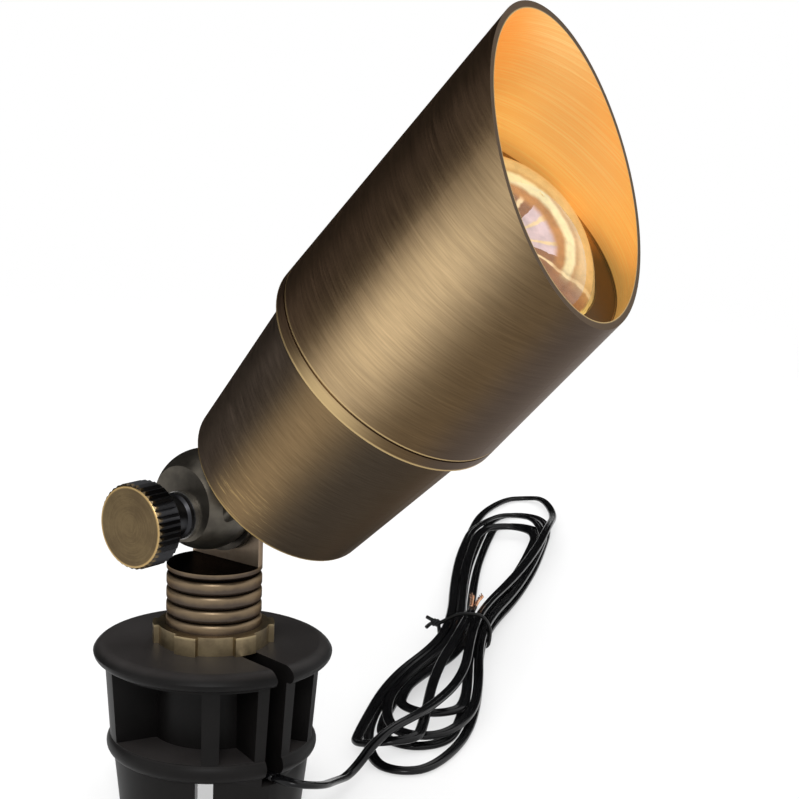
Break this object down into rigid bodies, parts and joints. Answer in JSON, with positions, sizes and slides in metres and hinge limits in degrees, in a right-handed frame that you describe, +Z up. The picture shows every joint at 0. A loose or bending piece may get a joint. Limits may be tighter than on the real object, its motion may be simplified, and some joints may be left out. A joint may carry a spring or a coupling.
{
  "type": "outdoor spotlight",
  "caption": "Low-voltage garden spotlight: a bronzed head with a slanted hood and domed lens tilts on a knuckle over a ground stake, with its lead coiled in a tied hank.",
  "frame": {"origin": "on the stake's axis at ground level, where the spike's legs start", "axes": "+Z up along the stake, +X the way the head aims, +Y away from the thumbscrew"},
  "size_m": [0.2366, 0.3472, 0.3661],
  "materials": {
    "bronze": "brushed antique bronze",
    "dark_bronze": "aged bronze",
    "knob_brass": "turned brass with a dark knurl",
    "stake_plastic": "satin moulded plastic",
    "lens_glass": "clear pressed glass",
    "optic": "clear moulded optic",
    "seal_rubber": "matte",
    "steel": "plain",
    "lamp_metal": "satin",
    "lamp_plastic": "satin",
    "holder_ceramic": "unglazed ceramic",
    "cord": "glossy black jacket",
    "tie": "satin",
    "copper": "bright copper"
  },
  "bodies": {
    "stake": {"ground_stake": "stake_plastic", "cable_in_stem": "cord", "lead": "cord", "lead_hank": "cord", "copper_tips": "copper", "hank_tie": "tie"},
    "stem": {"knuckle_stem": "dark_bronze", "stem_grommet": "seal_rubber", "stem_wire": "cord"},
    "locknut": {"locknut": "dark_bronze"},
    "thumbscrew": {"thumbscrew": "knob_brass", "screw_washer": "steel"},
    "head": {"head_knuckle": "dark_bronze", "body_housing": "bronze", "friction_washer": "steel", "spigot_nut": "steel", "spigot_seal": "seal_rubber", "body_oring": "seal_rubber", "holder_bracket": "steel", "holder_screws": "steel", "lamp_holder": "holder_ceramic", "holder_contacts": "steel", "lamp_pins": "steel", "lamp_base": "lamp_plastic", "lamp_heatsink": "lamp_metal", "led_board": "lamp_plastic", "lamp_bezel": "lamp_plastic", "lamp_optic": "optic", "socket_leads": "cord"},
    "lens_unit": {"lens": "lens_glass", "lens_gasket": "seal_rubber"},
    "hood": {"shroud": "bronze"}
  },
  "joints": [
    {"name": "pan", "type": "hinge", "parent": "stake", "child": "stem", "pos_m": [0, 0, 0.0415], "axis": [0, 0, 1], "range_deg": [-175, 175]},
    {"name": "locknut_turn", "type": "hinge", "parent": "stem", "child": "locknut", "pos_m": [0, 0, 0.0438], "axis": [0, 0, 1], "continuous": true},
    {"name": "head_tilt", "type": "hinge", "parent": "stem", "child": "head", "pos_m": [0, 0, 0.075], "axis": [0, 1, 0], "range_deg": [-100, 43]},
    {"name": "thumbscrew_turn", "type": "hinge", "parent": "stem", "child": "thumbscrew", "pos_m": [0, -0.0095, 0.075], "axis": [0, -1, 0], "range_deg": [0, 180]},
    {"name": "hood_travel", "type": "slide", "parent": "head", "child": "lens_unit", "axis": [0.6947, 0, 0.7193], "range_m": [0, 0.0121]},
    {"name": "hood_turn", "type": "hinge", "parent": "lens_unit", "child": "hood", "pos_m": [0.06321, 0, 0.12851], "axis": [0.6947, 0, 0.7193], "range_deg": [0, 2880]}
  ],
  "couplings": [
    {"joint": "hood_travel", "follows": "hood_turn", "m_per_rad": 0.00023873}
  ]
}
